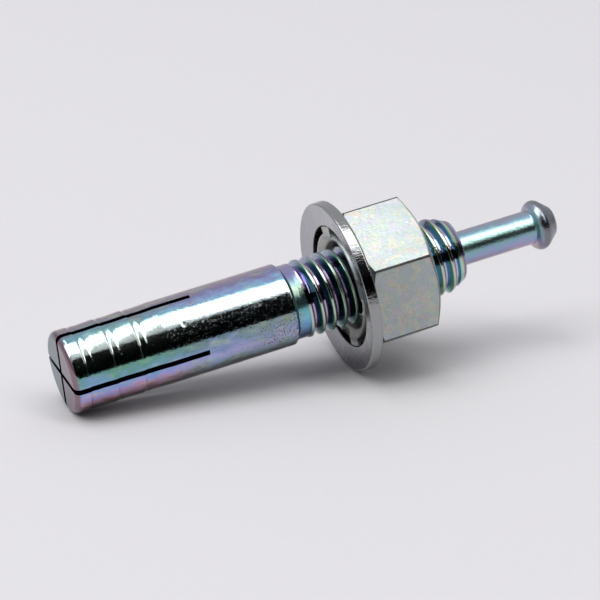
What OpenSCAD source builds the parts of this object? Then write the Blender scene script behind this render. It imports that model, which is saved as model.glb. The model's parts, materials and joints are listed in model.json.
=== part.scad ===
// Nail anchor: a split steel stud that a core pin spreads, with a hex nut and a captive dished washer.
// It lies as it comes to rest, on the rim of its washer and the lower edge of its split end.
// Sizes are in millimetres and angles in degrees. Places along the anchor count from the split end.

/* [Shank] */
// Diameter of the plain shank
shank_d = 10.5; // [8:0.1:14]
// Length of the shank, from the split end to its shoulder
shank_l = 29.3; // [24:0.1:35]
// Radius of the rounded edge at the split end
end_round = 0.55; // [0.3:0.05:1.2]
// Length of the conical shoulder between shank and neck
shoulder_l = 0.9; // [0.5:0.1:1.5]
// Length of the neck between the shoulder and the thread
neck_l = 1.2; // [0.5:0.1:2]
// How far the neck lies below the thread's crests
neck_sink = 0.2; // [0.05:0.05:0.4]

/* [Split end] */
// Length of the two crossed saw cuts
slot_l = 17.5; // [12:0.5:22]
// Width of a saw cut
slot_w = 0.7; // [0.4:0.1:1.2]
// How far the saw cuts are turned about the axis
slot_turn = 8; // [0:1:45]
// Number of grip rings
ring_count = 3; // [1:1:3]
// Distance from the split end to the first ring's step
ring_first = 1.9; // [1.6:0.1:3]
// Distance from one ring to the next
ring_pitch = 3.55; // [3:0.05:5]
// Length of a ring's groove, from its step to the end of its ramp
ring_l = 1.5; // [0.8:0.1:2]
// Length of the steep side of a ring's groove
ring_step = 0.45; // [0.1:0.05:0.6]
// Depth of a ring's groove
ring_depth = 0.1; // [0.05:0.05:0.4]

/* [Thread] */
// Outer diameter of the thread
thread_d = 9.9; // [8:0.1:12]
// Length of the whole stud, from the split end to the threaded end
stud_l = 53; // [52:0.2:64]
// How far the chamfer on the threaded end goes in from the crests
thread_chamfer = 1; // [0.4:0.1:1.2]
// Length of that chamfer along the stud
thread_chamfer_l = 2.2; // [0.6:0.1:3]

/* [Core pin] */
// Diameter of the pin
pin_d = 4.4; // [3:0.02:5.3]
// Length of the pin under its head
pin_l = 48; // [30:0.5:50]
// Length of the pin that stands out of the stud before it is driven in
pin_out = 10.8; // [6:0.1:14]
// Diameter of the flat on the pin's inner end
pin_tip_d = 2.2; // [1:0.1:2.8]
// Length of the taper on the pin's inner end
pin_tip_l = 1.6; // [0.8:0.1:3]
// Gap between the pin and the wall of its hole
pin_gap = 0.05; // [0.03:0.01:0.15]
// Solid length left between the hole and the split end
hole_floor = 3; // [2:0.1:4]

/* [Pin head] */
// Largest diameter of the head
head_d = 6.45; // [5.6:0.05:8.5]
// Height of the head
head_h = 3.1; // [2.6:0.1:5]
// Radius of the round bulge at the head's widest place
head_bulge = 1.1; // [0.6:0.1:1.3]
// Diameter of the flat on the head's end
head_flat_d = 3.6; // [2:0.1:4.2]

/* [Nut] */
// Width of the nut across its flats
nut_af = 16.8; // [15.6:0.1:22]
// Width of the nut across its turned corners
nut_corners = 19.2; // [17.5:0.1:24]
// Height of the hexagon
nut_h = 8.5; // [7:0.1:12]
// Diameter of the flat ring inside the nut's end chamfers
nut_face_d = 16.4; // [15.6:0.1:16.8]
// Slope of the nut's end chamfers
nut_chamfer_angle = 30; // [15:1:35]
// Place of the nut's bearing face along the stud
nut_place = 38.75; // [36:0.25:43]
// How far the nut is turned about the axis
nut_turn = 2; // [0:1:59]
// Gap between the thread's crests and the nut's hole
thread_gap = 0.05; // [0.03:0.01:0.15]
// Width of the countersink at the nut's outer end
nut_lead_in = 0.5; // [0.2:0.1:0.9]

/* [Collar] */
// Diameter of the nut's collar, which the washer turns on
collar_d = 14.8; // [13.6:0.1:15.4]
// Diameter of the countersink in the collar's front
collar_mouth_d = 12.6; // [12.2:0.1:13.2]
// How far the collar's front lies behind the washer's inner edge
collar_sink = 0.05; // [0:0.05:0.2]
// Number of stakes that hold the washer on the collar
stake_count = 4; // [2:1:6]
// Width of a stake, as an angle about the axis
stake_angle = 24; // [10:1:40]
// How far a stake stands out from the collar
stake_out = 0.3; // [0.25:0.05:0.5]
// How far the stakes are turned about the axis
stake_turn = -14; // [-45:1:45]

/* [Washer] */
// Diameter of the washer
washer_d = 22; // [18:0.1:30]
// Thickness of the washer
washer_t = 1.5; // [1.2:0.1:2.5]
// How far the rim lies in front of the inner edge, because the washer is dished
washer_dish = 0.6; // [0:0.05:1]
// Size of the chamfers on the washer's rim
washer_edge = 0.15; // [0.05:0.05:0.3]
// Gap between the collar and the washer's hole
collar_gap = 0.2; // [0.1:0.05:0.3]
// Gap between a stake and the washer's bevelled hole
stake_gap = 0.1; // [0.05:0.05:0.2]
// Gap between the washer and the nut's bearing face
washer_play = 0.05; // [0:0.05:0.2]

/* [Hidden] */
$fn = 96;
// How far a cutting shape runs past the surface that it cuts
over = 1;
// Angle of a drill's point, from its axis to its edge
drill_half_angle = 59;
// Colours of the zinc plate on each piece
shank_colour = "#a9afc0";
pin_colour = "#9fb4c2";
nut_colour = "#c3c6c2";
washer_colour = "#b4b5b8";

shank_r = shank_d / 2;
thread_r = thread_d / 2;
neck_r = thread_r - neck_sink;
neck_end = shank_l + shoulder_l + neck_l;
pin_r = pin_d / 2;
hole_r = pin_r + pin_gap;
hole_point_l = hole_r / tan(drill_half_angle);

// Pin, with its head's widest circle and the cone that runs from there to the flat
pin_top = stud_l + pin_out;
pin_start = pin_top - pin_l;
head_top = pin_top + head_h;
head_flat_r = head_flat_d / 2;
bulge_r = head_d / 2 - head_bulge;
bulge_z = pin_top + head_bulge;
flat_to_bulge = [bulge_r - head_flat_r, bulge_z - head_top];
cone_angle = atan2(flat_to_bulge[1], flat_to_bulge[0]) + asin(head_bulge / norm(flat_to_bulge));
cone_l = sqrt(flat_to_bulge * flat_to_bulge - head_bulge * head_bulge);
cone_foot = [head_flat_r + cone_l * cos(cone_angle), head_top + cone_l * sin(cone_angle)];

// Nut, collar and washer, with heights that count from the nut's bearing face
nut_r = nut_af / 2 / cos(30);
nut_face_r = nut_face_d / 2;
nut_corner_r = nut_corners / 2;
nut_chamfer_l = (nut_corner_r - nut_face_r) * tan(nut_chamfer_angle);
nut_hole_r = thread_r + thread_gap;
collar_r = collar_d / 2;
washer_r = washer_d / 2;
washer_hole_r = collar_r + collar_gap;
washer_back = -washer_play;
washer_front = washer_back - washer_t;
rim_back = washer_back - washer_dish;
rim_front = washer_front - washer_dish;
hole_bevel = stake_out + stake_gap + collar_sink - collar_gap;
collar_front = washer_front + collar_sink;
collar_mouth_r = collar_mouth_d / 2;
collar_mouth_l = collar_mouth_r - nut_hole_r;
dish_slope = washer_dish / (washer_r - washer_hole_r);

// Rest: the washer's rim and the rounded split end touch the floor together
rim_z = nut_place + rim_front + washer_edge;
rest_rise = washer_r - shank_r + end_round;
rest_run = rim_z - end_round;
tilt = acos(end_round / norm([rest_rise, rest_run])) - atan2(rest_run, rest_rise);
lift = (shank_r - end_round) * cos(tilt) + end_round - end_round * sin(tilt);
left_end = end_round * cos(tilt) - (shank_r - end_round) * sin(tilt) - end_round;
right_end = head_top * cos(tilt) + head_flat_r * sin(tilt);
middle = (left_end + right_end) / 2;

// Lays an upright anchor down: its axis points to +X and a little up, and its +X side turns to the top
module lie() {
    translate([-middle, 0, lift])
        rotate([0, 90 - tilt, 0])
            rotate([0, 0, 180])
                children();
}

// Half section of the stud, with a saw-toothed groove for each grip ring
module stud_section() {
    grooves = [
        for (i = [0 : ring_count - 1])
            let (z = ring_first + i * ring_pitch)
                each [[shank_r, z], [shank_r - ring_depth, z + ring_step], [shank_r, z + ring_l]]
    ];
    difference() {
        polygon(concat(
            [[0, 0], [shank_r, 0]],
            grooves,
            [
                [shank_r, shank_l],
                [neck_r, shank_l + shoulder_l],
                [neck_r, neck_end],
                [thread_r, neck_end + neck_sink],
                [thread_r, stud_l - thread_chamfer_l],
                [thread_r - thread_chamfer, stud_l],
                [0, stud_l]
            ]
        ));
        translate([shank_r - end_round, end_round])
            difference() {
                translate([0, -end_round - over])
                    square([end_round + over, end_round + over]);
                circle(end_round);
            }
    }
}

// Blind hole for the pin, with a drill's pointed floor
module pin_hole() {
    translate([0, 0, hole_floor])
        cylinder(r1 = 0, r2 = hole_r, h = hole_point_l);
    translate([0, 0, hole_floor + hole_point_l])
        cylinder(r = hole_r, h = stud_l - hole_floor - hole_point_l + over);
}

// Two crossed saw cuts, which leave four legs
module saw_cuts() {
    for (turn = [0, 90])
        rotate([0, 0, slot_turn + turn])
            translate([-shank_d, -slot_w / 2, -over])
                cube([2 * shank_d, slot_w, slot_l + over]);
}

module anchor_body() {
    color(shank_colour)
        lie()
            difference() {
                rotate_extrude()
                    stud_section();
                pin_hole();
                saw_cuts();
            }
}

// Half section of the pin: a blunt tapered end, a straight stem and an upset head
module pin_section() {
    polygon([
        [0, pin_start],
        [pin_tip_d / 2, pin_start],
        [pin_r, pin_start + pin_tip_l],
        [pin_r, bulge_z],
        [0, bulge_z]
    ]);
    polygon([
        [0, pin_top],
        [bulge_r, pin_top],
        [bulge_r, bulge_z],
        cone_foot,
        [head_flat_r, head_top],
        [0, head_top]
    ]);
    translate([bulge_r, bulge_z])
        circle(head_bulge);
}

module core_pin() {
    color(pin_colour)
        lie()
            rotate_extrude()
                pin_section();
}

// Hexagon with turned corners and a chamfer at both ends
module hexagon() {
    intersection() {
        cylinder(r = nut_r, h = nut_h, $fn = 6);
        rotate_extrude()
            polygon([
                [0, 0],
                [nut_face_r, 0],
                [nut_corner_r, nut_chamfer_l],
                [nut_corner_r, nut_h - nut_chamfer_l],
                [nut_face_r, nut_h],
                [0, nut_h]
            ]);
    }
}

// Stakes: short arcs of a flared lip on the collar's front edge
module stakes() {
    reach = collar_r + 2 * stake_out;
    half_chord = reach * tan(stake_angle / 2);
    for (i = [0 : stake_count - 1])
        rotate([0, 0, stake_turn + i * 360 / stake_count])
            intersection() {
                translate([0, 0, collar_front])
                    cylinder(r1 = collar_r + stake_out, r2 = collar_r, h = stake_out);
                translate([0, 0, collar_front - over])
                    linear_extrude(stake_out + 2 * over)
                        polygon([[0, 0], [reach, -half_chord], [reach, half_chord]]);
            }
}

// Hole for the thread, opened by a wide countersink in the collar and a small one at the outer end
module nut_hole() {
    translate([0, 0, collar_front - over])
        cylinder(r = nut_hole_r, h = nut_h - collar_front + 2 * over);
    translate([0, 0, collar_front])
        cylinder(r1 = collar_mouth_r, r2 = nut_hole_r, h = collar_mouth_l);
    translate([0, 0, nut_h - nut_lead_in])
        cylinder(r1 = nut_hole_r, r2 = nut_hole_r + nut_lead_in, h = nut_lead_in);
}

module hex_nut() {
    color(nut_colour)
        lie()
            translate([0, 0, nut_place])
                difference() {
                    union() {
                        rotate([0, 0, nut_turn])
                            hexagon();
                        translate([0, 0, collar_front])
                            cylinder(r = collar_r, h = over - collar_front);
                        stakes();
                    }
                    nut_hole();
                }
}

// Half section of the dished washer, with a bevel round its hole where the stakes sit
module washer_section() {
    bevel_r = washer_hole_r + hole_bevel;
    land_r = washer_r - washer_edge;
    polygon([
        [washer_hole_r, washer_back],
        [washer_hole_r, washer_front + hole_bevel],
        [bevel_r, washer_front - dish_slope * hole_bevel],
        [land_r, rim_front],
        [washer_r, rim_front + washer_edge],
        [washer_r, rim_back - washer_edge],
        [land_r, rim_back + dish_slope * washer_edge]
    ]);
}

module washer() {
    color(washer_colour)
        lie()
            translate([0, 0, nut_place])
                rotate_extrude()
                    washer_section();
}

anchor_body();
core_pin();
hex_nut();
washer();
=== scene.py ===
# %% [markdown]
# This lesson models a nail anchor: a split steel stud, a core pin that is hammered in to spread it, a hex
# nut, and a washer that is staked to the nut. All four are steel with a thin, rainbow-tinted zinc plate.
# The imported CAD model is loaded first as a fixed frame. It gives the main sizes and every place, and each
# piece made here takes the place of one CAD piece and moves with the same body.

# %% Load the frame
import json
import math

import bpy
from mathutils import Matrix, Vector


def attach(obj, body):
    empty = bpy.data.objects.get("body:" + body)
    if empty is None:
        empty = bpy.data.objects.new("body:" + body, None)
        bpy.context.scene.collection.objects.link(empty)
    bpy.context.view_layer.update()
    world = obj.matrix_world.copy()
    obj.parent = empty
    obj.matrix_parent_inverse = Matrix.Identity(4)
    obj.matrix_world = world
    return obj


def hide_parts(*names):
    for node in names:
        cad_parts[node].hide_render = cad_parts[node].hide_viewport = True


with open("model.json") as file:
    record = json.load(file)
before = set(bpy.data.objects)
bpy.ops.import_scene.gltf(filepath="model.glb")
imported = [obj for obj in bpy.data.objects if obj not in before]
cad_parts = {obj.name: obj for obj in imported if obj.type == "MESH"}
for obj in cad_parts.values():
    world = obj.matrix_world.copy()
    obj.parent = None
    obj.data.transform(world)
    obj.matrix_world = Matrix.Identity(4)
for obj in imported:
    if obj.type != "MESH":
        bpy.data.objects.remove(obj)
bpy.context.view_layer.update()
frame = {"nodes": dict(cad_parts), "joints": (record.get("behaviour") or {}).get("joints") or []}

# %% [markdown]
# Everything on the anchor is turned on one axis, so the axis is found before anything is drawn. The
# record knows its direction from the nut's joint. Each piece is then drawn upright, in millimetres, with
# the split end at height zero, and is laid down on this axis only when it is finished. Working upright
# keeps the numbers the same as on a turner's drawing.

# %% Find the axis and the split end
NUT_JOINT = next(joint for joint in frame["joints"] if joint["name"] == "nut_turn")
AXIS = Vector(NUT_JOINT["axis"]).normalized()
ON_AXIS = Vector(NUT_JOINT["pos_m"])


def height_on_axis(point):
    return (point - ON_AXIS).dot(AXIS)


def node_points(node):
    return [vertex.co.copy() for vertex in frame["nodes"][node].data.vertices]


SPLIT_END = ON_AXIS + AXIS * min(height_on_axis(p) for p in node_points("anchor_body"))
SIDE_UP = (Vector((0, 0, 1)) - AXIS * AXIS.z).normalized()
SIDE_FRONT = AXIS.cross(SIDE_UP)
LIE_DOWN = Matrix.Translation(SPLIT_END) @ Matrix((SIDE_UP, SIDE_FRONT, AXIS)).transposed().to_4x4()
print("split end at", [round(1000 * v, 3) for v in SPLIT_END], "axis", [round(v, 4) for v in AXIS])

# %% [markdown]
# The main sizes are read from the CAD pieces, so that both models agree. Each point of a piece has a
# height along the axis and a radius across it, and the largest and smallest of these are the sizes on the
# drawing.

# %% Measure the CAD pieces on the axis
def ring_sizes(node):
    """Heights and radii of a node's points, in millimetres from the split end."""
    sizes = []
    for point in node_points(node):
        away = point - SPLIT_END
        height = away.dot(AXIS)
        sizes.append((1000 * height, 1000 * (away - AXIS * height).length))
    return sizes


def widest(node, low, high):
    return max(radius for height, radius in ring_sizes(node) if low <= height <= high)


HAIR = 0.005  # keeps the round rim of the washer just inside the CAD box
STUD_L = max(height for height, radius in ring_sizes("anchor_body"))
SHANK_R = widest("anchor_body", 0, STUD_L / 2)
THREAD_R = widest("anchor_body", STUD_L - 5, STUD_L)
PIN_END = max(height for height, radius in ring_sizes("core_pin"))
PIN_TIP = min(height for height, radius in ring_sizes("core_pin"))
PIN_R = widest("core_pin", PIN_TIP, STUD_L)
WASHER_R = widest("washer", 0, STUD_L) - HAIR
NUT_CORNER_R = widest("hex_nut", 0, STUD_L)
NUT_TOP = max(height for height, radius in ring_sizes("hex_nut"))
COLLAR_FRONT = min(height for height, radius in ring_sizes("hex_nut"))
print("stud %.2f long, shank r %.2f, thread r %.2f" % (STUD_L, SHANK_R, THREAD_R))
print("pin r %.2f from %.2f to %.2f, washer r %.2f" % (PIN_R, PIN_TIP, PIN_END, WASHER_R))
print("nut from %.2f to %.2f, corners r %.2f" % (COLLAR_FRONT, NUT_TOP, NUT_CORNER_R))

# %% [markdown]
# A turned part is easiest to make as a lathe makes it: half of its section is drawn as a line of points,
# and the line is spun round the axis. No real edge is perfectly sharp, so the helper below rounds the
# corners of the line with small arcs. Those arcs catch the bright lines that a real steel edge shows. A
# short straight stroke on both sides of an arc keeps its smooth shading from spreading over the long face
# next to it.

# %% Round the corners of a drawn line
def rounded(corners, strokes=4, guard=0.04):
    """Corners are (radius, height) or (radius, height, rounding). Gives the points of the line."""
    points = []
    for i, corner in enumerate(corners):
        here = Vector(corner[:2])
        if len(corner) == 2:
            points.append(here)
            continue
        before = (Vector(corners[i - 1][:2]) - here).normalized()
        after = (Vector(corners[(i + 1) % len(corners)][:2]) - here).normalized()
        half = before.angle(after) / 2
        reach = corner[2] / math.tan(half)
        middle = here + (before + after).normalized() * (corner[2] / math.sin(half))
        start = here + before * reach - middle
        turn = -start.angle_signed(here + after * reach - middle)
        points.append(here + before * (reach + guard))
        for k in range(strokes + 1):
            c, s = math.cos(turn * k / strokes), math.sin(turn * k / strokes)
            points.append(middle + Vector((start.x * c - start.y * s, start.x * s + start.y * c)))
        points.append(here + after * (reach + guard))
    return points


# %% [markdown]
# A plane merged to one vertex is the pencil, and each extrude draws one stroke with it. An operator works
# on all that is selected, so everything is deselected before a new piece is begun.

# %% Draw a line
MERGE, THINNEST = 0.0005, 0.0002


def fresh_start():
    if bpy.context.object and bpy.context.object.mode == "EDIT":
        bpy.ops.object.mode_set(mode="OBJECT")
    bpy.ops.object.select_all(action="DESELECT")


def draw_line(name, points, closed=False):
    fresh_start()
    bpy.ops.mesh.primitive_plane_add(size=1)
    piece = bpy.context.object
    piece.name = piece.data.name = name
    bpy.ops.object.mode_set(mode="EDIT")
    bpy.ops.mesh.select_all(action="SELECT")
    bpy.ops.mesh.merge(type="CENTER")
    bpy.ops.transform.translate(value=(points[0].x, 0, points[0].y))
    for here, there in zip(points, points[1:] + points[:1] if closed else points[1:]):
        bpy.ops.mesh.extrude_region_move(
            TRANSFORM_OT_translate={"value": (there.x - here.x, 0, there.y - here.y)})
    bpy.ops.mesh.select_all(action="SELECT")
    bpy.ops.mesh.remove_doubles(threshold=MERGE)
    bpy.ops.mesh.select_all(action="SELECT")
    return piece


# %% [markdown]
# Spin turns the line into a skin. Where it meets itself its points lie double, and at the axis its faces
# shrink to nothing, so the skin is merged and cleaned, and its faces are then turned outwards.

# %% Spin the line, as on a lathe
def clean_up(piece):
    """Merges doubles, closes holes, then points all faces outwards."""
    bpy.ops.object.mode_set(mode="EDIT")
    bpy.ops.mesh.select_all(action="SELECT")
    bpy.ops.mesh.remove_doubles(threshold=MERGE)
    bpy.ops.mesh.dissolve_degenerate(threshold=THINNEST)
    bpy.ops.mesh.select_all(action="SELECT")
    bpy.ops.mesh.fill_holes(sides=0)
    bpy.ops.mesh.select_all(action="SELECT")
    bpy.ops.mesh.normals_make_consistent(inside=False)
    bpy.ops.object.mode_set(mode="OBJECT")


def turned(name, corners, steps=128, strokes=4, closed=False, angle=360):
    piece = draw_line(name, rounded(corners, strokes), closed)
    bpy.ops.mesh.spin(steps=steps, angle=math.radians(angle), center=(0, 0, 0), axis=(0, 0, 1),
                      use_auto_merge=angle == 360)
    clean_up(piece)
    return piece


# %% [markdown]
# Saw cuts, threads and stakes are made by joining or cutting whole bodies with a Boolean, as in a
# workshop. Each modifier is applied at once, so that the next step starts from a plain mesh, and the
# edges are counted: in a closed body each edge belongs to exactly two faces.

# %% Cut and join pieces
def pick(piece):
    fresh_start()
    bpy.context.view_layer.objects.active = piece
    piece.select_set(True)


def finish_modifier(piece, modifier):
    pick(piece)
    bpy.ops.object.modifier_apply(modifier=modifier.name)


def combine(piece, tool, how):
    """One Boolean, applied at once. The tool is used up."""
    join = piece.modifiers.new("join", "BOOLEAN")
    join.operation, join.solver, join.object = how, "MANIFOLD", tool
    finish_modifier(piece, join)
    bpy.data.objects.remove(tool)
    clean_up(piece)


def count_faces(piece):
    uses = {}
    for face in piece.data.polygons:
        for edge in face.edge_keys:
            uses[edge] = uses.get(edge, 0) + 1
    piece.data.calc_loop_triangles()
    print(piece.name, len(piece.data.loop_triangles), "triangles,",
          sum(1 for count in uses.values() if count != 2), "open edges")


# %% [markdown]
# The stud is one steel bar. Its shank has a rounded split end and three shallow saw-toothed grip rings:
# each drops steeply behind a lip, climbs in a hollow, drops a little at a second, smaller lip and climbs
# to the next ring. A shoulder steps down to a waisted neck, and a blind hole for the pin runs in from the
# threaded end. All of it is round, so the core is one spun line, with the thread left off as if the bar
# had been turned to its root.

# %% Turn the stud's core
END_ROUND = 0.8
RING_STEPS, RINGS_END = [1.9, 5.45, 9.0], 12.6
RING_LINE = [(0, 0), (0.03, 0.008), (0.07, 0.03), (0.12, 0.059), (0.17, 0.082), (0.24, 0.096), (0.34, 0.1),
             (0.5, 0.096), (0.65, 0.085), (0.8, 0.073), (0.92, 0.068), (1.0, 0.072), (1.1, 0.081),
             (1.2, 0.087), (1.35, 0.088), (1.8, 0.08), (2.3, 0.063), (2.8, 0.042), (3.2, 0.022), (3.5, 0.003)]
SHANK_L = 29.3
NECK_R, NECK_END = THREAD_R - 0.2, 31.2
PITCH, ROOT_R, ROOT_START = 1.5, THREAD_R - 0.87, 31.9
HOLE_R, HOLE_FLOOR, DRILL_POINT = PIN_R + 0.05, 3.0, math.radians(59)
END_R, END_L = widest("anchor_body", STUD_L - 0.01, STUD_L), 2.2
END_ROOT = STUD_L - END_L * (ROOT_R - END_R) / (THREAD_R - END_R)

core = [(0, 0), (SHANK_R, 0, END_ROUND)]
for step in RING_STEPS:
    core += [(SHANK_R, step - 0.02)] + [(SHANK_R - depth, step + along) for along, depth in RING_LINE]
core += [(SHANK_R, RINGS_END), (SHANK_R, SHANK_L, 0.12), (NECK_R + 0.05, SHANK_L + 0.35, 0.25),
         (NECK_R, SHANK_L + 1.2, 1.5), (NECK_R, NECK_END, 0.2), (ROOT_R, ROOT_START, 0.2),
         (ROOT_R, END_ROOT), (END_R, STUD_L, 0.08), (HOLE_R + 0.25, STUD_L, 0.08), (HOLE_R, STUD_L - 0.3),
         (HOLE_R, HOLE_FLOOR + HOLE_R / math.tan(DRILL_POINT)), (0, HOLE_FLOOR)]
stud = turned("stud_body", core, steps=160)
count_faces(stud)

# %% [markdown]
# Two saw cuts cross at the end and split it into four legs. Each cut is a thin box that is longer than
# the stud is wide. A saw leaves straight walls and crisp edges, and a plate a few thousandths thick
# hardly rounds them, so a plain Boolean cut is enough and a bevel here would only look worn.

# %% Saw the end
SLOT_L, SLOT_W, SLOT_TURN = 17.5, 0.7, 8
for turn in (0, 90):
    fresh_start()
    bpy.ops.mesh.primitive_cube_add(size=1)
    saw = bpy.context.object
    saw.scale = (4 * SHANK_R, SLOT_W, SLOT_L + 1)
    saw.location = (0, 0, (SLOT_L - 1) / 2)
    saw.rotation_euler = (0, 0, math.radians(SLOT_TURN + turn))
    bpy.ops.object.transform_apply()
    combine(stud, saw, "DIFFERENCE")
count_faces(stud)

# %% [markdown]
# A thread is one profile that climbs a fixed pitch on each turn. The Screw modifier sweeps the drawn
# profile that way. It could be faked with a bump, but the light on a thread runs along real flanks, so it
# is modelled. The same helper later makes a slightly fatter thread, which cuts the nut.

# %% Sweep a thread
THREAD_AT_TOP = 0.96  # height of a crest on the upper side, in the first pitch
FLANK = math.tan(math.radians(30))


def thread_ridge(name, root_r, crest_r, spare, first, turns):
    """A helix with 60 degree flanks, sunk into the core below its root. Spare makes it fatter all over."""
    low = first * PITCH + THREAD_AT_TOP
    root_half = PITCH / 2 - 0.1 + spare
    crest_half = root_half - (crest_r - root_r) * FLANK
    ridge = draw_line(name, rounded([
        (root_r - 0.3, low - root_half), (root_r, low - root_half), (crest_r, low - crest_half, 0.1),
        (crest_r, low + crest_half, 0.1), (root_r, low + root_half), (root_r - 0.3, low + root_half)], 3),
        closed=True)
    bpy.ops.object.mode_set(mode="OBJECT")
    sweep = ridge.modifiers.new("sweep", "SCREW")
    sweep.axis, sweep.angle, sweep.screw_offset, sweep.iterations = "Z", math.tau, PITCH, turns
    sweep.steps = sweep.render_steps = 72
    finish_modifier(ridge, sweep)
    clean_up(ridge)
    return ridge


ridge = thread_ridge("ridge", ROOT_R, THREAD_R - 0.02, spare=0, first=19, turns=17)
count_faces(ridge)

# %% [markdown]
# The swept ridge is too long at both ends. A turned body, with a cone at each end, keeps only what a die
# leaves: a thread that fades out towards the neck and is chamfered at its free end. This trimmed thread
# is then joined to the core.

# %% Trim the thread and join it to the core
FADE_START, FADE_END = 30.9, 33.2
chamfer = turned("chamfer", [
    (0, FADE_START), (NECK_R - 0.06, FADE_START), (THREAD_R + 0.5, FADE_END),
    (THREAD_R + 0.5, STUD_L - END_L * 1.5), (ROOT_R + 0.01, END_ROOT), (0, END_ROOT)])
combine(ridge, chamfer, "INTERSECT")
combine(stud, ridge, "UNION")
count_faces(stud)

# %% [markdown]
# The pin is drawn wire with a head upset on one end, so its section is one line from the blunt tip to the
# round head. The head's bulge is a row of points on an arc.

# %% Turn the core pin
TIP_R, TIP_L = 1.1, 1.6
HEAD_R = widest("core_pin", STUD_L, PIN_END)
HEAD_H, HEAD_BULGE, HEAD_FLAT = 3.1, 1.05, 1.8
UNDER_HEAD = PIN_END - HEAD_H
bulge = [(HEAD_R - HEAD_BULGE + HEAD_BULGE * math.cos(math.radians(turn)),
          UNDER_HEAD + HEAD_BULGE + HEAD_BULGE * math.sin(math.radians(turn))) for turn in range(-78, 41, 6)]
pin = turned("core_pin_steel", [
    (0, PIN_TIP), (TIP_R, PIN_TIP, 0.2), (PIN_R, PIN_TIP + TIP_L, 1.0), (PIN_R, UNDER_HEAD, 0.12)]
    + bulge + [(HEAD_FLAT, PIN_END, 0.5), (0, PIN_END)], steps=96, strokes=8)
count_faces(pin)

# %% [markdown]
# The washer is a pressed dish: its rim leans towards the split end. Its corners are rounded by the press,
# and pressing has tilted its sheared edge a little, which moves the highlight on it up towards the top.

# %% Turn the washer
HOLE_BACK = max(height for height, radius in ring_sizes("washer"))
RIM_FRONT = min(height for height, radius in ring_sizes("washer"))
WASHER_T, ROOM, RIM_LEAN = 1.5, 0.3, 0.1
WASHER_HOLE = min(radius for height, radius in ring_sizes("washer")) + ROOM
DISH = HOLE_BACK - RIM_FRONT - WASHER_T
washer = turned("washer_steel", [
    (WASHER_HOLE, HOLE_BACK, 0.1), (WASHER_HOLE, HOLE_BACK - WASHER_T, 0.12),
    (WASHER_R - RIM_LEAN, RIM_FRONT, 0.2), (WASHER_R, HOLE_BACK - DISH, 0.3)], steps=160, closed=True)
count_faces(washer)
print("hole r %.2f, from %.2f to %.2f" % (WASHER_HOLE, HOLE_BACK - WASHER_T, HOLE_BACK))

# %% [markdown]
# The nut starts as a six-sided cylinder. Its end corners are turned off at 30 degrees, which leaves the
# curved edges at both ends of every flat. A small bevel then takes the sharpness off all its edges.

# %% Cut the hexagon
NUT_FACE_R = widest("hex_nut", NUT_TOP - 0.01, NUT_TOP)
BACK_FACE_R = NUT_CORNER_R - 0.55
NUT_H, NUT_AF, NUT_ANGLE = 8.5, 16.8, 2
NUT_BACK = NUT_TOP - NUT_H
TURN_OFF = math.tan(math.radians(30))
fresh_start()
bpy.ops.mesh.primitive_cylinder_add(
    vertices=6, radius=NUT_AF / 2 / math.cos(math.radians(30)), depth=NUT_H,
    location=(0, 0, NUT_BACK + NUT_H / 2), rotation=(0, 0, math.radians(NUT_ANGLE - 30)))
nut = bpy.context.object
nut.name = nut.data.name = "hex_nut_steel"
bpy.ops.object.transform_apply()
combine(nut, turned("corner_cut", [
    (0, NUT_BACK - 0.01), (BACK_FACE_R, NUT_BACK - 0.01),
    (NUT_CORNER_R, NUT_BACK + (NUT_CORNER_R - BACK_FACE_R) * TURN_OFF),
    (NUT_CORNER_R, NUT_TOP - (NUT_CORNER_R - NUT_FACE_R) * TURN_OFF),
    (NUT_FACE_R, NUT_TOP + 0.01), (0, NUT_TOP + 0.01)], steps=240), "INTERSECT")

bevel = nut.modifiers.new("soften", "BEVEL")
bevel.width, bevel.segments = 0.06, 2
bevel.limit_method, bevel.angle_limit = "ANGLE", math.radians(20)
finish_modifier(nut, bevel)
clean_up(nut)
count_faces(nut)

# %% [markdown]
# A collar on the front of the nut passes through the washer, and four short stakes, pressed out of the
# collar's edge, keep the washer on. One stake is modelled as a short turned arc and is copied all round.

# %% Add the collar and its stakes
COLLAR_R, MOUTH_R = 7.2, 6.6
STAKES, STAKE_ARC, STAKE_OUT, STAKE_FIRST = 4, 20, 0.64, 3


def all_round(tool, how):
    """Copies a tool to every stake's place, each copy with its own mesh, and uses it on the nut."""
    for i in range(STAKES):
        pick(tool)
        bpy.ops.object.duplicate()
        copy = bpy.context.object
        copy.rotation_euler = (0, 0, math.radians(STAKE_FIRST + 360 / STAKES * i))
        bpy.ops.object.transform_apply()
        combine(nut, copy, how)
    bpy.data.objects.remove(tool)


combine(nut, turned("collar", [
    (0, COLLAR_FRONT), (COLLAR_R - 0.3, COLLAR_FRONT, 0.1), (COLLAR_R, COLLAR_FRONT + 0.9, 0.3),
    (COLLAR_R, NUT_BACK + 1), (0, NUT_BACK + 1)], steps=160), "UNION")
stake = turned("stake", [
    (COLLAR_R - 0.6, COLLAR_FRONT + 0.01), (COLLAR_R + STAKE_OUT, COLLAR_FRONT + 0.01, 0.08),
    (COLLAR_R + STAKE_OUT - 0.1, COLLAR_FRONT + 0.3), (COLLAR_R - 0.6, COLLAR_FRONT + 0.55)],
    steps=12, closed=True, angle=STAKE_ARC)
stake.rotation_euler = (0, 0, math.radians(-STAKE_ARC / 2))
bpy.ops.object.transform_apply()
all_round(stake, "UNION")
count_faces(nut)

# %% [markdown]
# The nut is tapped with the stud's own thread, made a little fatter so that it runs free. The tap also
# has the shape of the drilled hole, of the open mouth in the collar and of the countersink at the other
# end, so one cut does it all.

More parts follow.
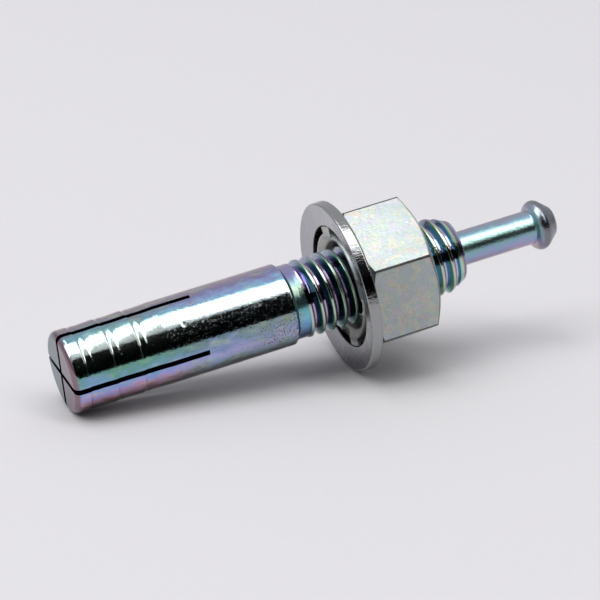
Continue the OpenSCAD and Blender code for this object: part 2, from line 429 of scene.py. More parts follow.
# %% Tap the nut
DRILL_R, TAP_ROOM = ROOT_R + 0.12, 0.06
THROAT_R, THROAT_L, THROAT_SLOPE = 5.75, 0.6, 1.9
SINK_R, SINK_L = 2.3, 1.3
tap = turned("tap", [
    (0, COLLAR_FRONT - 1), (MOUTH_R + 0.3, COLLAR_FRONT - 1), (MOUTH_R, COLLAR_FRONT, 0.15),
    (THROAT_R, COLLAR_FRONT + THROAT_L, 0.1),
    (DRILL_R, COLLAR_FRONT + THROAT_L + THROAT_SLOPE * (THROAT_R - DRILL_R)),
    (DRILL_R, NUT_TOP - SINK_L), (DRILL_R + SINK_R, NUT_TOP + 1), (0, NUT_TOP + 1)], steps=144)
combine(tap, thread_ridge("tap_thread", ROOT_R, THREAD_R + 0.05, TAP_ROOM, first=22, turns=12), "UNION")
combine(nut, tap, "DIFFERENCE")
count_faces(nut)

# %% [markdown]
# Each stake was pushed out by a blunt punch, which left a hollow inside the collar's edge behind it. A
# stretched ball gives that hollow, and it goes to the same four places as the stakes.

# %% Press the punch marks
PUNCH = (0.5, 1.2, 0.75)
fresh_start()
bpy.ops.mesh.primitive_uv_sphere_add(
    segments=24, ring_count=12, radius=1, location=(MOUTH_R - 0.1, 0, COLLAR_FRONT))
punch = bpy.context.object
punch.scale = PUNCH
bpy.ops.object.transform_apply()
all_round(punch, "DIFFERENCE")
count_faces(nut)

# %% [markdown]
# The pieces are finished, so they are laid down: scaled to metres, turned onto the axis, and smoothed.
# The nut gets a smaller smoothing angle, because smoothed bevels would bend the light on its flats. Then each
# piece is tied to its body, and the CAD piece that it stands for is hidden.

# %% Lay the pieces down on the axis
MM = 0.001
ROUND_SMOOTH, FLAT_SMOOTH = 28, 12


def lay_down(piece, smooth):
    pick(piece)
    piece.matrix_world = LIE_DOWN @ Matrix.Scale(MM, 4)
    bpy.ops.object.transform_apply(location=True, rotation=True, scale=True)
    bpy.ops.object.shade_smooth_by_angle(angle=math.radians(smooth))
    piece.data.materials.clear()


for piece, body, node, slot, smooth in (
        (stud, "stud", "anchor_body", "zinc_stud", ROUND_SMOOTH),
        (pin, "pin", "core_pin", "zinc_pin", ROUND_SMOOTH),
        (nut, "nut", "hex_nut", "zinc_nut", FLAT_SMOOTH),
        (washer, "washer", "washer", "zinc_washer", ROUND_SMOOTH)):
    lay_down(piece, smooth)
    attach(piece, body)
    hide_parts(node)
    print(piece.name, "rides on", body, "and stands for", node)

# %% [markdown]
# The finish is a thin, clear layer on zinc. Light bounces inside the layer and comes out tinted, as on a
# soap film, so one steel bar shows pink, violet, blue and sea green side by side. The tint could be left
# to the light alone, but a painted tint also shows in the exported model, so it is painted by place:
# round the axis and along it. The helpers below keep the node code short: one adds a node, and the others
# count with it.

# %% Make and plug nodes
def plug(tree, socket, value):
    if isinstance(value, bpy.types.NodeSocket):
        tree.links.new(value, socket)
    else:
        socket.default_value = value


def put(tree, kind, inputs=None, **settings):
    """Adds a node, sets it up and plugs its inputs."""
    made = tree.nodes.new(kind)
    for name, value in settings.items():
        setattr(made, name, value)
    for name, value in (inputs or {}).items():
        plug(tree, made.inputs[name], value)
    return made


def count(tree, how, *values):
    made = put(tree, "ShaderNodeMath", operation=how)
    for socket, value in zip(made.inputs, values):
        plug(tree, socket, value)
    return made.outputs[0]


def times(tree, value, *others):
    for other in others:
        value = count(tree, "MULTIPLY", value, other)
    return value


def plus(tree, value, *others):
    for other in others:
        value = count(tree, "ADD", value, other)
    return value


# %% [markdown]
# A mask says where a tint shows: 0 is nowhere and 1 is fully. Masks with soft edges look natural, so the
# helpers below fade smoothly from one value to the other. Noise makes spots, and noise on a stretched
# place makes streaks.

# %% Masks, noise and colours
def between(tree, value, low, high, start=0.0, end=1.0):
    """Start below low, end above high, and a smooth change from one to the other."""
    return put(tree, "ShaderNodeMapRange", {
        "Value": value, "From Min": low, "From Max": high, "To Min": start, "To Max": end},
        interpolation_type="SMOOTHSTEP").outputs["Result"]


def window(tree, value, rise, fall, top=1.0):
    """Rises over the first pair of values and falls over the second, which is given from the outside in."""
    return times(tree, between(tree, value, *rise), between(tree, value, *fall, 0.0, top))


def stretched(tree, place, factors):
    return put(tree, "ShaderNodeVectorMath", {0: place, 1: factors}, operation="MULTIPLY").outputs["Vector"]


def noise(tree, place, size, detail=2.0):
    """Soft noise round zero, with lumps of about the given size in millimetres."""
    made = put(tree, "ShaderNodeTexNoise", {"Vector": place, "Scale": 1 / size, "Detail": detail})
    return count(tree, "SUBTRACT", made.outputs["Fac"], 0.5)


def paint(tree, mask, under, over):
    made = put(tree, "ShaderNodeMix", {"Factor": mask, "A": under, "B": over}, data_type="RGBA")
    return made.outputs["Result"]


def ramp(tree, value, stops):
    made = put(tree, "ShaderNodeValToRGB", {"Fac": value})
    elements = made.color_ramp.elements
    for i, (spot, colour) in enumerate(stops):
        element = elements[i] if i < 2 else elements.new(spot)
        element.position, element.color = spot, (*colour, 1)
    return made.outputs["Color"]


# %% [markdown]
# Every finish starts the same way: a metallic Principled shader, and the place of a point on the anchor.
# Object coordinates lie along the room's axes, so a Mapping node turns them to the anchor's own axis and
# counts them in millimetres from the split end. Effects that several finishes share become node groups.

# %% Begin a finish or a group
NUMBER, COLOUR, VECTOR = "NodeSocketFloat", "NodeSocketColor", "NodeSocketVector"


def new_finish(name, **constants):
    material = bpy.data.materials.new(name)
    material.use_nodes = True
    shader = material.node_tree.nodes["Principled BSDF"]
    for label, value in constants.items():
        shader.inputs[label.replace("_", " ")].default_value = value
    return material, material.node_tree, shader


def new_group(name, inputs, outputs):
    tree = bpy.data.node_groups.new(name, "ShaderNodeTree")
    for label, kind in inputs:
        tree.interface.new_socket(label, in_out="INPUT", socket_type=kind)
    for label, kind in outputs:
        tree.interface.new_socket(label, in_out="OUTPUT", socket_type=kind)
    return tree, tree.nodes.new("NodeGroupInput").outputs, tree.nodes.new("NodeGroupOutput").inputs


def use(tree, group, **inputs):
    return put(tree, "ShaderNodeGroup", inputs, node_tree=group).outputs


# %% A group that reads the place on the anchor
around, has, gives = new_group(
    "around_the_axis", [("Place", VECTOR)],
    [("Turn", NUMBER), ("Height", NUMBER), ("Radius", NUMBER), ("Thread", NUMBER)])
x, y, z = put(around, "ShaderNodeSeparateXYZ", {0: has["Place"]}).outputs
turn = count(around, "DIVIDE", count(around, "ARCTAN2", y, x), math.tau)
radius = count(around, "SQRT", plus(around, times(around, x, x), times(around, y, y)))
pitches = count(around, "DIVIDE", count(around, "SUBTRACT", z, THREAD_AT_TOP), PITCH)
thread = count(around, "FRACT", count(around, "SUBTRACT", pitches, turn))
for label, value in (("Turn", turn), ("Height", z), ("Radius", radius), ("Thread", thread)):
    around.links.new(value, gives[label])

# %% Begin and end a steel finish
def steel_finish(name):
    """A metallic finish, with the place of a point in millimetres: up side, camera side, height."""
    finish, tree, shader = new_finish(name, Metallic=1.0)
    where = put(tree, "ShaderNodeTexCoord").outputs["Object"]
    place = put(tree, "ShaderNodeMapping", {
        "Vector": where, "Location": SPLIT_END, "Rotation": LIE_DOWN.to_euler(), "Scale": (MM, MM, MM)},
        vector_type="TEXTURE").outputs["Vector"]
    return finish, tree, shader, place, use(tree, around, Place=place)


def give_finish(piece, finish, shader, tint, roughness, relief, depth):
    """Plugs the colour, the roughness and the bump, and gives the finish to its piece."""
    tree = finish.node_tree
    bump = put(tree, "ShaderNodeBump", {"Height": relief, "Distance": depth})
    plug(tree, shader.inputs["Base Color"], tint)
    plug(tree, shader.inputs["Roughness"], roughness)
    plug(tree, shader.inputs["Normal"], bump.outputs["Normal"])
    piece.data.materials.append(finish)
    print(finish.name, len(tree.nodes), "nodes")


# %% [markdown]
# The tints follow each other in a fixed order as the film gets thicker: lavender, blue, sea green, yellow
# green, pink. A colour ramp holds that order, and each finish brings its own noise, which makes the film
# a little thicker here and thinner there.

# %% A group with the film's tints
FILM_TINTS = [
    (0.0, (0.50, 0.42, 0.60)), (0.15, (0.36, 0.40, 0.66)), (0.30, (0.26, 0.46, 0.62)),
    (0.44, (0.26, 0.52, 0.48)), (0.56, (0.38, 0.60, 0.40)), (0.67, (0.66, 0.66, 0.44)),
    (0.78, (0.66, 0.46, 0.46)), (0.90, (0.56, 0.38, 0.54)), (1.0, (0.50, 0.42, 0.60))]
film, has, gives = new_group("rainbow_film", [("Thickness", NUMBER)], [("Tint", COLOUR)])
film.links.new(ramp(film, count(film, "FRACT", has["Thickness"]), FILM_TINTS), gives["Tint"])

# %% [markdown]
# No plated steel is a perfect mirror. Under the plate is the grain of drawn or pressed steel, which
# ripples each highlight, and a damp shelf leaves fine dark specks. Both could be modelled, but at a tenth
# of a millimetre they belong in the material: one group gives a fine height for the bump with a coarser
# mottle for the gloss, and the other gives a mask of dots.

# %% A group for the fine grain of plated steel
grain, has, gives = new_group("plated_grain", [("Place", VECTOR), ("Size", NUMBER)],
                              [("Height", NUMBER), ("Mottle", NUMBER)])
drawn = stretched(grain, has["Place"], (1, 1, 0.45))
for label, share in (("Height", 1.0), ("Mottle", 0.1)):
    scale = count(grain, "DIVIDE", share, has["Size"])
    lumps = put(grain, "ShaderNodeTexNoise", {"Vector": drawn, "Scale": scale, "Detail": 3.0})
    grain.links.new(lumps.outputs["Fac"], gives[label])

# %% A group for dark specks
specks, has, gives = new_group("dark_specks", [("Place", VECTOR), ("Size", NUMBER), ("Amount", NUMBER)],
                               [("Mask", NUMBER)])
scale = count(specks, "DIVIDE", 1.0, has["Size"])
dots = put(specks, "ShaderNodeTexNoise", {"Vector": has["Place"], "Scale": scale, "Detail": 2.0})
rise = plus(specks, dots.outputs["Fac"], times(specks, has["Amount"], 0.3))
specks.links.new(between(specks, rise, 0.72, 0.80), gives["Mask"])

# %% [markdown]
# The stud is the brightest piece, and its film the thickest. Its tints run in long bands beside the
# highlight: sea green and blue next to it, then violet and pink, then a painted shade of dark brown on the
# lower side, which mirrors the shadowed table. Where the lamp's highlight falls, the tints are near white, a
# painted highlight. The grip end is greener, and the plain part more violet. Two colour ramps hold these
# bands, read by the angle round the axis, and streaky noise pushes the bands about, so that no band has a
# ruled edge.

# %% Read the angle from the front side
FRONT = 63.9 / 360  # the side that faces the camera, in turns from the upper side


def front_side(tree, turn):
    """Turns from the front side: less than 0 on the upper side, and more than 0 on the lower side."""
    return count(tree, "SUBTRACT", count(tree, "FRACT", plus(tree, turn, 1.5 - FRONT)), 0.5)


def spread_tints(tree, side, drift, tints):
    """Tints by the angle from the front side, pushed outwards or inwards by the drift."""
    away = plus(tree, count(tree, "ABSOLUTE", side), drift)
    side = plus(tree, times(tree, count(tree, "SIGN", side), away), 0.5)
    return ramp(tree, side, [(degrees / 360 + 0.5, colour) for degrees, colour in tints])


# %% Tints round the shank, with painted highlight and painted shade, by degrees from the front side
GRIP_TINTS_WITH_PAINTED_LIGHT = [
    (-180, (0.36, 0.36, 0.40)), (-140, (0.28, 0.38, 0.42)), (-110, (0.34, 0.32, 0.38)),
    (-86, (0.42, 0.33, 0.35)), (-68, (0.34, 0.29, 0.34)), (-54, (0.28, 0.36, 0.42)),
    (-44, (0.24, 0.44, 0.52)), (-35, (0.34, 0.64, 0.70)), (-24, (0.74, 0.86, 0.84)),
    (-8, (0.66, 0.76, 0.70)), (9, (0.26, 0.48, 0.36)), (18, (0.15, 0.37, 0.30)),
    (28, (0.20, 0.39, 0.50)), (40, (0.29, 0.42, 0.76)), (49, (0.44, 0.42, 0.80)),
    (58, (0.62, 0.38, 0.56)), (67, (0.44, 0.26, 0.28)), (77, (0.17, 0.14, 0.14)),
    (100, (0.28, 0.24, 0.30)), (135, (0.36, 0.32, 0.42)), (180, (0.36, 0.36, 0.40))]
PLAIN_TINTS_WITH_PAINTED_LIGHT = [
    (-180, (0.36, 0.36, 0.40)), (-140, (0.30, 0.40, 0.46)), (-110, (0.36, 0.34, 0.40)),
    (-86, (0.46, 0.38, 0.42)), (-68, (0.38, 0.32, 0.42)), (-56, (0.30, 0.29, 0.48)),
    (-45, (0.36, 0.44, 0.74)), (-36, (0.34, 0.60, 0.82)), (-24, (0.74, 0.86, 0.88)),
    (-8, (0.60, 0.68, 0.70)), (9, (0.26, 0.34, 0.36)), (18, (0.18, 0.28, 0.33)),
    (28, (0.23, 0.33, 0.50)), (38, (0.32, 0.38, 0.66)), (46, (0.44, 0.42, 0.72)),
    (54, (0.38, 0.50, 0.70)), (62, (0.32, 0.42, 0.46)), (70, (0.22, 0.24, 0.25)),
    (80, (0.14, 0.13, 0.14)), (100, (0.26, 0.24, 0.30)), (180, (0.36, 0.36, 0.40))]

# %% Stud finish: tint of the shank
GRIP_TO_PLAIN = (10.0, 18.0)
stud_finish, tree, shader, place, axis = steel_finish("zinc_stud_plate")
side = front_side(tree, axis["Turn"])
streaky = stretched(tree, place, (1, 1, 0.4))
wander = plus(tree, times(tree, noise(tree, place, 4.0), 0.1),
              times(tree, noise(tree, streaky, 0.6, 4.0), 0.1))
# The two ramps paint a highlight near white, and shade on the lower side.
grip = spread_tints(tree, side, wander, GRIP_TINTS_WITH_PAINTED_LIGHT)
plain = spread_tints(tree, side, wander, PLAIN_TINTS_WITH_PAINTED_LIGHT)
tint = paint(tree, between(tree, axis["Height"], *GRIP_TO_PLAIN), grip, plain)
patch = between(tree, noise(tree, streaky, 0.9, 4.0), 0.0, 0.2, 0.0, 0.4)
rainbow = use(tree, film, Thickness=times(tree, plus(tree, wander, 0.4), 4.0))["Tint"]
tint = paint(tree, patch, tint, rainbow)

# %% [markdown]
# The four faces of the split end hardly see the lamps, so they are dark, and their tints are painted dark as
# well, a painted shade: teal on the far side, and rosy towards the camera and at the rim. The neck has bands
# of its own, more blue than the shank's, and darker where the lamp's highlight falls, a painted shade that
# dims the highlight.

# %% Stud finish: end face and neck, with painted shade
END_FACE, SHANK_TO_NECK = (0.75, 0.3), (29.35, 29.6)
SHADED_LEG_TINTS = [(0.0, (0.09, 0.15, 0.185)), (0.5, (0.135, 0.135, 0.17)), (1.0, (0.19, 0.12, 0.15))]
NECK_TINTS_WITH_PAINTED_SHADE = [
    (-180, (0.40, 0.38, 0.50)), (-70, (0.40, 0.36, 0.50)), (-44, (0.28, 0.28, 0.52)),
    (-30, (0.20, 0.32, 0.34)), (-14, (0.26, 0.34, 0.26)), (14, (0.18, 0.46, 0.50)),
    (30, (0.22, 0.56, 0.70)), (46, (0.18, 0.36, 0.68)), (60, (0.16, 0.20, 0.42)),
    (78, (0.30, 0.28, 0.36)), (180, (0.40, 0.38, 0.50))]
near = put(tree, "ShaderNodeSeparateXYZ", {0: place}).outputs["Y"]
near = plus(tree, near, times(tree, noise(tree, place, 1.5, 3.0), 5.0))
# The legs' dark tints are painted shade.
legs = ramp(tree, between(tree, near, -5.0, 5.0), SHADED_LEG_TINTS)
rosy = times(tree, between(tree, axis["Radius"], 3.6, 5.0), between(tree, near, -2.0, 3.0, 0.0, 0.75))
legs = paint(tree, rosy, legs, (0.31, 0.21, 0.255, 1))
tint = paint(tree, between(tree, axis["Height"], *END_FACE), tint, legs)
# The neck's tints are darker where the highlight falls: painted shade.
neck = spread_tints(tree, side, wander, NECK_TINTS_WITH_PAINTED_SHADE)
tint = paint(tree, between(tree, axis["Height"], *SHANK_TO_NECK), tint, neck)

# %% [markdown]
# On the thread the film changes from root to crest, so every turn repeats the same stripes. The pale stripes
# on crest and root are painted highlights, and the dark stripes on the flanks are painted shade. The group
# gives how far a point is between one crest and the next, and a ramp colours that. Outside the nut the
# stripes are brighter, and by the washer they are darker, a painted shadow of the washer and the nut. On the
# upper side they fade to violet, a painted reflection that is pale by the washer and dark beyond the nut. On
# the lower side they fade to grey green, a painted reflection of the table.

# %% Stud finish: tints, painted highlights and painted shade across the thread
NECK_TO_THREAD, OUTSIDE_NUT = (31.0, 31.4), (46.0, 48.0)
INNER_STRIPES_WITH_PAINTED_LIGHT = [
    (0.0, (0.62, 0.64, 0.50)), (0.06, (0.62, 0.52, 0.54)), (0.12, (0.34, 0.20, 0.26)),
    (0.28, (0.13, 0.11, 0.16)), (0.42, (0.34, 0.25, 0.34)), (0.48, (0.56, 0.46, 0.54)),
    (0.55, (0.40, 0.36, 0.58)), (0.61, (0.12, 0.15, 0.38)), (0.70, (0.04, 0.20, 0.27)),
    (0.81, (0.05, 0.28, 0.24)), (0.89, (0.16, 0.40, 0.28)), (0.95, (0.46, 0.62, 0.44)),
    (1.0, (0.62, 0.64, 0.50))]
OUTER_STRIPES_WITH_PAINTED_LIGHT = [
    (0.0, (0.62, 0.64, 0.50)), (0.10, (0.50, 0.40, 0.30)), (0.22, (0.18, 0.22, 0.34)),
    (0.40, (0.34, 0.30, 0.50)), (0.48, (0.60, 0.56, 0.66)), (0.58, (0.26, 0.44, 0.66)),
    (0.70, (0.14, 0.58, 0.60)), (0.82, (0.22, 0.64, 0.42)), (0.91, (0.50, 0.66, 0.40)),
    (1.0, (0.62, 0.64, 0.50))]
step = count(tree, "FRACT", plus(tree, axis["Thread"], 1.0, times(tree, wander, 0.7)))
outside = between(tree, axis["Height"], *OUTSIDE_NUT)
# Stripes by the washer are darker, a painted shadow; beyond the nut they are brighter.
stripes = paint(tree, outside, ramp(tree, step, INNER_STRIPES_WITH_PAINTED_LIGHT), ramp(tree, step, OUTER_STRIPES_WITH_PAINTED_LIGHT))
# The upper side is painted as a reflection: pale by the washer, dark beyond the nut.
violet = paint(tree, outside, (0.44, 0.41, 0.58, 1), (0.20, 0.16, 0.32, 1))
upper = times(tree, between(tree, side, -0.13, -0.20),
              between(tree, axis["Height"], *OUTSIDE_NUT, 0.65, 0.8))
stripes = paint(tree, upper, stripes, violet)
# The lower side is painted grey green, a painted reflection of the table.
stripes = paint(tree, between(tree, side, 0.13, 0.22, 0.0, 0.4), stripes, (0.30, 0.42, 0.42, 1))
tint = paint(tree, between(tree, axis["Height"], *NECK_TO_THREAD), tint, stripes)

# %% [markdown]
# The camera side of the shank has a worn place near the neck, with a greenish stain and many dark specks,
# and a few small pits all along the plain part. Stains and the neck are duller than the shank, and the
# grip end is a very little softer than the plain part.

# %% Stud finish: dark specks and gloss
worn = times(tree, window(tree, axis["Height"], (18.0, 28.0), (31.0, 29.4)),
             window(tree, axis["Turn"], (0.20, 0.24), (0.37, 0.31)))
pitted = window(tree, axis["Height"], (11.0, 14.0), (29.6, 29.2), 0.3)
amount = count(tree, "MAXIMUM", times(tree, worn, 0.54), pitted)
stain = use(tree, specks, Place=place, Size=0.18, Amount=amount)["Mask"]
greenish = times(tree, worn, between(tree, noise(tree, place, 0.5), -0.15, 0.15, 0.1, 0.6))
tint = paint(tree, greenish, tint, (0.32, 0.34, 0.22, 1))
tint = paint(tree, times(tree, stain, 0.85), tint, (0.05, 0.05, 0.04, 1))
mottle = use(tree, grain, Place=place, Size=0.17)["Mottle"]
gloss = plus(tree, between(tree, mottle, 0.3, 0.7, 0.06, 0.11), times(tree, stain, worn, 0.3))
dull_neck = window(tree, axis["Height"], (29.5, 29.7), (31.3, 31.0), 0.16)
soft_grip = between(tree, axis["Height"], 14.0, 10.0, 0.005, 0.03)
gloss = plus(tree, gloss, count(tree, "MAXIMUM", dull_neck, soft_grip))

# %% [markdown]
# The bump holds the finest grain, the lathe's marks at the grip end, and one nick above the slot. Its
# distance is only hundredths of a millimetre: more would break up the long highlight.

# %% Stud finish: grain, dents and one nick
NICK = (3.37, 4.03, 15.2)
peppered = times(tree, noise(tree, place, 0.24, 1.0), between(tree, axis["Height"], 8.0, 14.0, 0.3, 0.5))
on_lathe = stretched(tree, place, (0.25, 0.25, 1))
lathe_marks = times(tree, noise(tree, on_lathe, 0.5, 3.0),
                    between(tree, axis["Height"], 14.0, 10.0, 0.05, 0.3))
relief = plus(tree, peppered, lathe_marks, times(tree, noise(tree, place, 0.8), 0.15))
from_nick = put(tree, "ShaderNodeVectorMath", {0: place, 1: NICK}, operation="DISTANCE").outputs["Value"]
hollows = plus(tree, times(tree, stain, 0.3), between(tree, from_nick, 0.36, 0.16, 0.0, 1.2))
relief = count(tree, "SUBTRACT", relief, hollows)
give_finish(stud, stud_finish, shader, tint, gloss, relief, 2.1e-5)

# %% [markdown]
# The pin is drawn wire: the same film, but a softer gloss, because drawing leaves fine lines. Its head
# was upset under a hammer and is greyer. The film's tints are read by the angle again, and the head is
# painted over them by its height.

# %% Pin finish
PIN_TINTS = [
    (-180, (0.40, 0.36, 0.42)), (-120, (0.30, 0.40, 0.46)), (-84, (0.40, 0.38, 0.42)),
    (-62, (0.38, 0.40, 0.50)), (-44, (0.30, 0.46, 0.56)), (-26, (0.40, 0.62, 0.66)),
    (-6, (0.34, 0.54, 0.48)), (14, (0.26, 0.46, 0.44)), (28, (0.28, 0.42, 0.56)),
    (44, (0.34, 0.38, 0.58)), (58, (0.44, 0.38, 0.54)), (74, (0.50, 0.38, 0.44)),
    (120, (0.38, 0.40, 0.40)), (180, (0.40, 0.36, 0.42))]
pin_finish, tree, shader, place, axis = steel_finish("zinc_pin_plate")
wander = plus(tree, times(tree, noise(tree, place, 3.0), 0.14),
              times(tree, noise(tree, place, 0.7, 3.0), 0.07))
tint = spread_tints(tree, front_side(tree, axis["Turn"]), wander, PIN_TINTS)
head = between(tree, axis["Height"], UNDER_HEAD + 0.1, UNDER_HEAD + 0.9)
spots = between(tree, noise(tree, place, 1.6), -0.1, 0.1)
tint = paint(tree, head, tint, paint(tree, spots, (0.215, 0.22, 0.23, 1), (0.24, 0.265, 0.30, 1)))
skin = use(tree, grain, Place=place, Size=0.2)
gloss = between(tree, skin["Mottle"], 0.3, 0.7, 0.2, 0.28)
give_finish(pin, pin_finish, shader, tint, gloss, skin["Height"], 2.4e-5)

# %% [markdown]
# The nut is pressed and tumbled, so its plate is nearly matt and mottled: pale rainbow clouds, finer grey
# spots, a few warm patches and some specks. They are layers of noise, each with lumps of its own size.

# %% Nut finish: mottled plate
nut_finish, tree, shader, place, axis = steel_finish("zinc_nut_plate")
cloud = plus(tree, times(tree, noise(tree, place, 1.0, 4.0), 2.6), 0.45)
tint = paint(tree, 0.26, (0.49, 0.495, 0.47, 1), use(tree, film, Thickness=cloud)["Tint"])
grey = between(tree, noise(tree, place, 0.4, 4.0), -0.05, 0.2, 0.0, 0.3)
tint = paint(tree, grey, tint, (0.33, 0.345, 0.32, 1))
warm = between(tree, noise(tree, place, 1.6), 0.06, 0.22, 0.0, 0.4)
tint = paint(tree, warm, tint, (0.56, 0.44, 0.34, 1))
dirt = use(tree, specks, Place=place, Size=0.25, Amount=0.4)["Mask"]
tint = paint(tree, times(tree, dirt, 0.3), tint, (0.25, 0.26, 0.22, 1))

# %% [markdown]
# Inside the threaded mouth, most of all on its lower side, and in the narrow gap between collar and washer,
# the tint is painted dark: painted shade, where these hollows get little light. Height and radius find these
# places.

# %% Nut finish: painted shade in the mouth and the gap
RECESS_SHADE = (0.03, 0.03, 0.028, 1)
inside = between(tree, axis["Height"], NUT_TOP - 3, NUT_TOP - 4)
# The mouth is painted darker: painted shade.
mouth = times(tree, between(tree, axis["Radius"], 6.1, 5.6, 0.0, 0.75), inside)
tint = paint(tree, mouth, tint, (0.10, 0.10, 0.08, 1))
upward = put(tree, "ShaderNodeSeparateXYZ", {0: place}).outputs["X"]
# Its lower side is painted darker still: painted shade.
lower_mouth_shade = times(tree, between(tree, upward, 1.0, -4.0, 0.0, 0.65),
              between(tree, axis["Radius"], 7.5, 7.0), inside)
tint = paint(tree, lower_mouth_shade, tint, (0.12, 0.12, 0.11, 1))
front, back = (COLLAR_FRONT + 0.5, COLLAR_FRONT + 0.9), (NUT_BACK + 0.1, NUT_BACK + 0.02)
# The gap between collar and washer is painted near black: painted shade.
gap = times(tree, window(tree, axis["Height"], front, back),
            window(tree, axis["Radius"], (6.8, 7.1), (8.2, 7.9), 0.85))
tint = paint(tree, gap, tint, RECESS_SHADE)

# %% [markdown]
# The corners between the flats, and the edge where the outer chamfer meets them, are painted as thin dark
# lines: painted shade, where these edges turn away from the light. The angle round the axis finds the
# corners: it runs from 0 in the middle of a flat to a half at its corners. The chamfer is a cone, so height
# and radius together tell how far a point is from it.

# %% Nut finish: painted shade on the edges
EDGE_SHADE = (0.14, 0.14, 0.13, 1)
CONE = NUT_TOP + NUT_FACE_R * TURN_OFF
sixth = count(tree, "FRACT", plus(tree, times(tree, axis["Turn"], 6.0), 6.0 - NUT_ANGLE / 60))
to_corner = count(tree, "ABSOLUTE", count(tree, "SUBTRACT", sixth, 0.5))
across = times(tree, axis["Radius"], count(tree, "COSINE", times(tree, to_corner, math.pi / 3)))
on_cone = between(tree, plus(tree, axis["Height"], times(tree, axis["Radius"], TURN_OFF)),
                  CONE - 0.2, CONE - 0.08, 0.0, 0.75)
outer_edge_shade = times(tree, on_cone, between(tree, across, NUT_AF / 2 - 0.06, NUT_AF / 2 - 0.03))
tint = paint(tree, outer_edge_shade, tint, EDGE_SHADE)
# The corners are painted as dark lines: painted shade.
corner = times(tree, between(tree, to_corner, 0.480, 0.492), between(tree, axis["Radius"], 9.3, 9.45))
tint = paint(tree, corner, tint, EDGE_SHADE)
skin = use(tree, grain, Place=place, Size=0.22)
gloss = between(tree, skin["Mottle"], 0.3, 0.7, 0.40, 0.50)
give_finish(nut, nut_finish, shader, tint, gloss, skin["Height"], 3e-5)

# %% [markdown]
# The washer is punched from sheet. Its faces keep the satin of the sheet. Their tint is painted darker
# towards the lower side, a painted shade, and near black in the hole, a painted shade in the narrow gap. Its
# rim is sheared: darker and shinier, with short marks across the thickness. The radius tells the rim and the
# hole from the faces.

# %% Washer finish
washer_finish, tree, shader, place, axis = steel_finish("zinc_washer_plate")
cloud = plus(tree, times(tree, noise(tree, place, 4.0, 3.0), 1.6), 0.2)
tint = paint(tree, 0.1, (0.42, 0.41, 0.42, 1), use(tree, film, Thickness=cloud)["Tint"])
upward = put(tree, "ShaderNodeSeparateXYZ", {0: place}).outputs["X"]
# The lower side of the faces is painted darker: painted shade.
lower_face_shade = plus(tree, upward, times(tree, noise(tree, place, 3.0, 3.0), 6.0))
tint = paint(tree, between(tree, lower_face_shade, -2.0, -10.0, 0.0, 0.6), tint, (0.16, 0.165, 0.17, 1))
edge = between(tree, axis["Radius"], WASHER_R - 0.35, WASHER_R - 0.2)
tint = paint(tree, edge, tint, (0.34, 0.35, 0.35, 1))
# The hole's wall is painted near black: painted shade.
hole_shade = between(tree, axis["Radius"], WASHER_HOLE + 0.1, WASHER_HOLE + 0.03, 0.0, 0.85)
tint = paint(tree, hole_shade, tint, RECESS_SHADE)
skin = use(tree, grain, Place=place, Size=0.18)
gloss = count(tree, "SUBTRACT", between(tree, skin["Mottle"], 0.3, 0.7, 0.22, 0.30), times(tree, edge, 0.13))
sheared = noise(tree, stretched(tree, place, (1, 1, 0.25)), 0.3)
relief = plus(tree, skin["Height"], times(tree, sheared, edge, 2.0))
give_finish(washer, washer_finish, shader, tint, gloss, relief, 1.4e-5)

# %% [markdown]
# The stage is a sheet of pale paper, large enough to run past the picture's edges, in a pale room. The
# room is a plain gradient that is lighter above and behind, because polished steel is only as good as
# what it mirrors.

# %% The table
TABLE_SIZE, PAPER = 6, (0.615, 0.605, 0.618, 1)
fresh_start()
bpy.ops.mesh.primitive_plane_add(size=TABLE_SIZE)
table = bpy.context.object
table.name = "table"
table.data.materials.append(new_finish("pale_paper", Base_Color=PAPER, Roughness=0.7)[0])
print("table", table.dimensions.x, "m wide")

# %% The room
LIGHTEST_WAY = (0, 0.5, 0.87)
ROOM_TINTS = [(0.0, (0.14, 0.14, 0.15)), (0.5, (0.34, 0.33, 0.36)), (1.0, (0.66, 0.66, 0.69))]
world = bpy.data.worlds.new("studio")
bpy.context.scene.world = world
world.use_nodes = True
tree = world.node_tree
way = put(tree, "ShaderNodeTexCoord").outputs["Generated"]
rise = put(tree, "ShaderNodeVectorMath", {0: way, 1: LIGHTEST_WAY}, operation="DOT_PRODUCT").outputs["Value"]
plug(tree, tree.nodes["Background"].inputs["Color"], ramp(tree, between(tree, rise, -1, 1), ROOM_TINTS))
print("room", world.name, len(tree.nodes), "nodes")

# %% [markdown]
# The camera stands where the photographer's stood: its heading, height and distance were fitted to the
# anchor's outline. It is set by one known point, the split end, which lies at a known pixel of the 600 by
# 600 picture.

# %% Camera
FOCAL_PX, PICTURE_PX, SPLIT_END_PX = 3160.66, 600, (61.3, 373.6)
HEADING, LOOK_DOWN, DEPTH = math.radians(22.594), math.radians(21.61), 0.38386
SENSOR = 36
right = Vector((math.cos(HEADING), -math.sin(HEADING), 0))
ahead = Vector((math.sin(HEADING) * math.cos(LOOK_DOWN), math.cos(HEADING) * math.cos(LOOK_DOWN),
                -math.sin(LOOK_DOWN)))
up = right.cross(ahead)
to_right, down = [(pixel - PICTURE_PX / 2) / FOCAL_PX for pixel in SPLIT_END_PX]
eye = SPLIT_END - DEPTH * (ahead + right * to_right - up * down)
bpy.ops.object.camera_add()
camera = bpy.context.object
camera.matrix_world = Matrix.Translation(eye) @ Matrix((right, up, -ahead)).transposed().to_4x4()
camera.data.sensor_width = SENSOR
camera.data.lens = FOCAL_PX / PICTURE_PX * SENSOR
camera.data.clip_start = 0.01
bpy.context.scene.camera = camera
bpy.context.scene.view_settings.view_transform = "Standard"
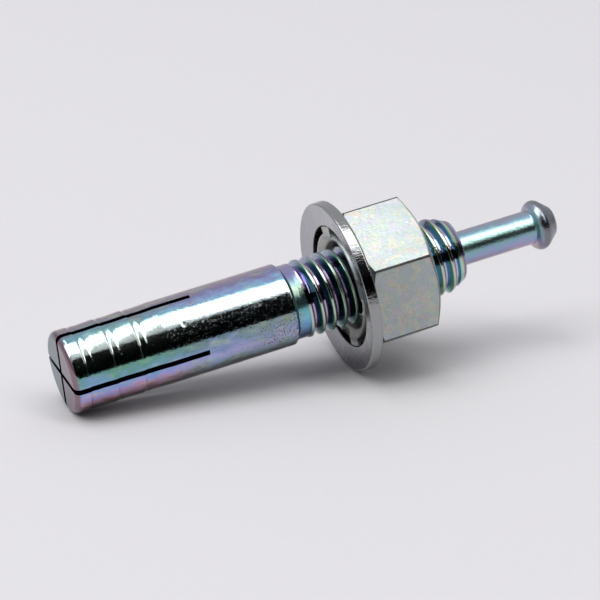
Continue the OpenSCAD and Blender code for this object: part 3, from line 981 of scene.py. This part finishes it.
print("camera at", [round(v, 3) for v in eye], "lens %.1f mm" % camera.data.lens)

# %% [markdown]
# The long white and black bands on the shank are a lamp and a dark card in the studio, seen in a round
# mirror. So each is placed by the direction that the shank mirrors to the camera. The narrow softbox is
# slanted: a slope on the steel then slides the highlight downwards, which draws the bright tongues at the
# ring lips. A second, wide softbox from the left lights the flats and softens the shadow.

# %% Place by the mirrored direction
def mirrored_way(lean, aside=0.295):
    """Direction that the shank mirrors to the camera, leaning from straight up towards the camera side."""
    lean = math.radians(lean)
    return AXIS * aside + (SIDE_UP * math.cos(lean) + SIDE_FRONT * math.sin(lean)) * math.sqrt(1 - aside ** 2)


def face_the_anchor(thing, way, distance, slant=0):
    thing.location = way * distance
    away = way.normalized()
    side = (AXIS - away * AXIS.dot(away)).normalized()
    facing = Matrix((side, away.cross(side), away)).transposed()
    thing.rotation_euler = (facing @ Matrix.Rotation(math.radians(-slant), 3, "Z")).to_euler()
    thing.visible_camera = False
    print(thing.name, "at", [round(v, 2) for v in thing.location])


# %% Softboxes
def softbox(name, length, width, energy, way, distance, slant=0):
    bpy.ops.object.light_add(type="AREA")
    lamp = bpy.context.object
    lamp.name = name
    lamp.data.shape, lamp.data.size, lamp.data.size_y = "RECTANGLE", length, width
    lamp.data.energy = energy
    face_the_anchor(lamp, way, distance, slant)


softbox("slanted_softbox", length=2.2, width=0.29, energy=6.4, way=mirrored_way(15), distance=1.0, slant=60)
softbox("left_softbox", length=1.4, width=1.0, energy=14.5, way=mirrored_way(4, aside=-0.34), distance=1.6)

# %% Dark flag
FLAG_SIZE, BLACK = (3.4, 1.28, 1), (0.002, 0.002, 0.002, 1)
fresh_start()
bpy.ops.mesh.primitive_plane_add(size=1)
flag = bpy.context.object
flag.name = "dark_flag"
flag.scale = FLAG_SIZE
face_the_anchor(flag, mirrored_way(65), distance=1.2)
felt = new_finish("black_felt", Base_Color=BLACK, Roughness=1.0, Specular_IOR_Level=0.0)[0]
flag.data.materials.append(felt)
